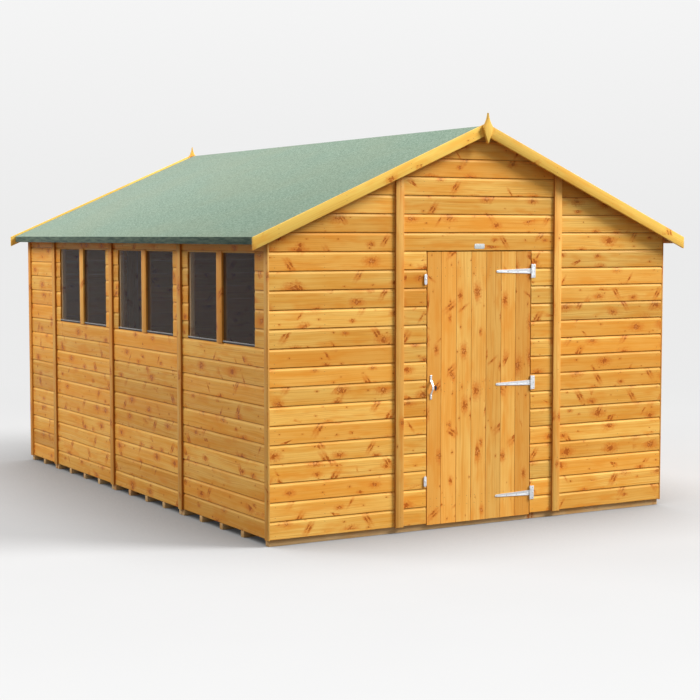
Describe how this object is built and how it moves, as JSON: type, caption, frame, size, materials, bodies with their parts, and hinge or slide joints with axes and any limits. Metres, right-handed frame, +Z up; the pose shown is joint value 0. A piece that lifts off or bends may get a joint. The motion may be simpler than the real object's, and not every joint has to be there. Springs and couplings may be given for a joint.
{
  "type": "wooden garden shed",
  "caption": "Gabled wooden garden shed in horizontal cladding, with a felted roof, windows along one side and a boarded door on T hinges in the front gable.",
  "frame": {"origin": "on the ground in the middle of the plan", "axes": "+X to the right along the front gable, +Y from the front gable to the rear, +Z up"},
  "size_m": [3.234, 4.424, 2.5807],
  "materials": {
    "cladding": "satin",
    "door": "satin",
    "framing": "matte",
    "sheet_boards": "matte",
    "trim": "satin",
    "bead": "satin",
    "glass": "gloss",
    "felt": "matte",
    "hardware": "satin",
    "lock": "satin"
  },
  "bodies": {
    "shell": {"barge_boards_left": "trim", "barge_boards_right": "trim", "corner_strips": "trim", "eaves_battens": "framing", "finials": "trim", "floor_bearers": "framing", "floor_deck": "sheet_boards", "front_wall_beside_hinges": "cladding", "front_wall_beside_latch": "cladding", "front_wall_left": "cladding", "front_wall_over_door": "cladding", "front_wall_right": "cladding", "gable_cover_strips": "trim", "gable_rafters_left": "framing", "gable_rafters_right": "framing", "gable_rails": "framing", "gable_studs": "framing", "hinge_pins": "hardware", "hinge_plates": "hardware", "left_wall_below_windows": "cladding", "left_wall_beside_windows": "cladding", "left_wall_over_windows": "cladding", "left_wall_plain_panel": "cladding", "rear_wall": "cladding", "right_wall": "cladding", "roof_boards_left": "sheet_boards", "roof_boards_right": "sheet_boards", "roof_felt": "felt", "roof_purlins": "framing", "side_cover_strips": "trim", "side_wall_rails": "framing", "side_wall_studs": "framing", "truss_collars": "framing", "truss_rafters_left": "framing", "truss_rafters_right": "framing", "turn_buttons": "hardware", "window_glass": "glass", "window_mullions": "trim", "window_sill_beads": "bead"},
    "door": {"door_boards": "door", "door_ledges": "framing", "door_braces": "framing", "door_handle": "hardware", "door_lock": "lock", "hinge_straps": "hardware"}
  },
  "joints": [
    {"name": "door_hinge", "type": "hinge", "parent": "shell", "child": "door", "pos_m": [0.3955, -2.134, 0.886], "axis": [0, 0, 1], "range_deg": [0, 170]}
  ]
}
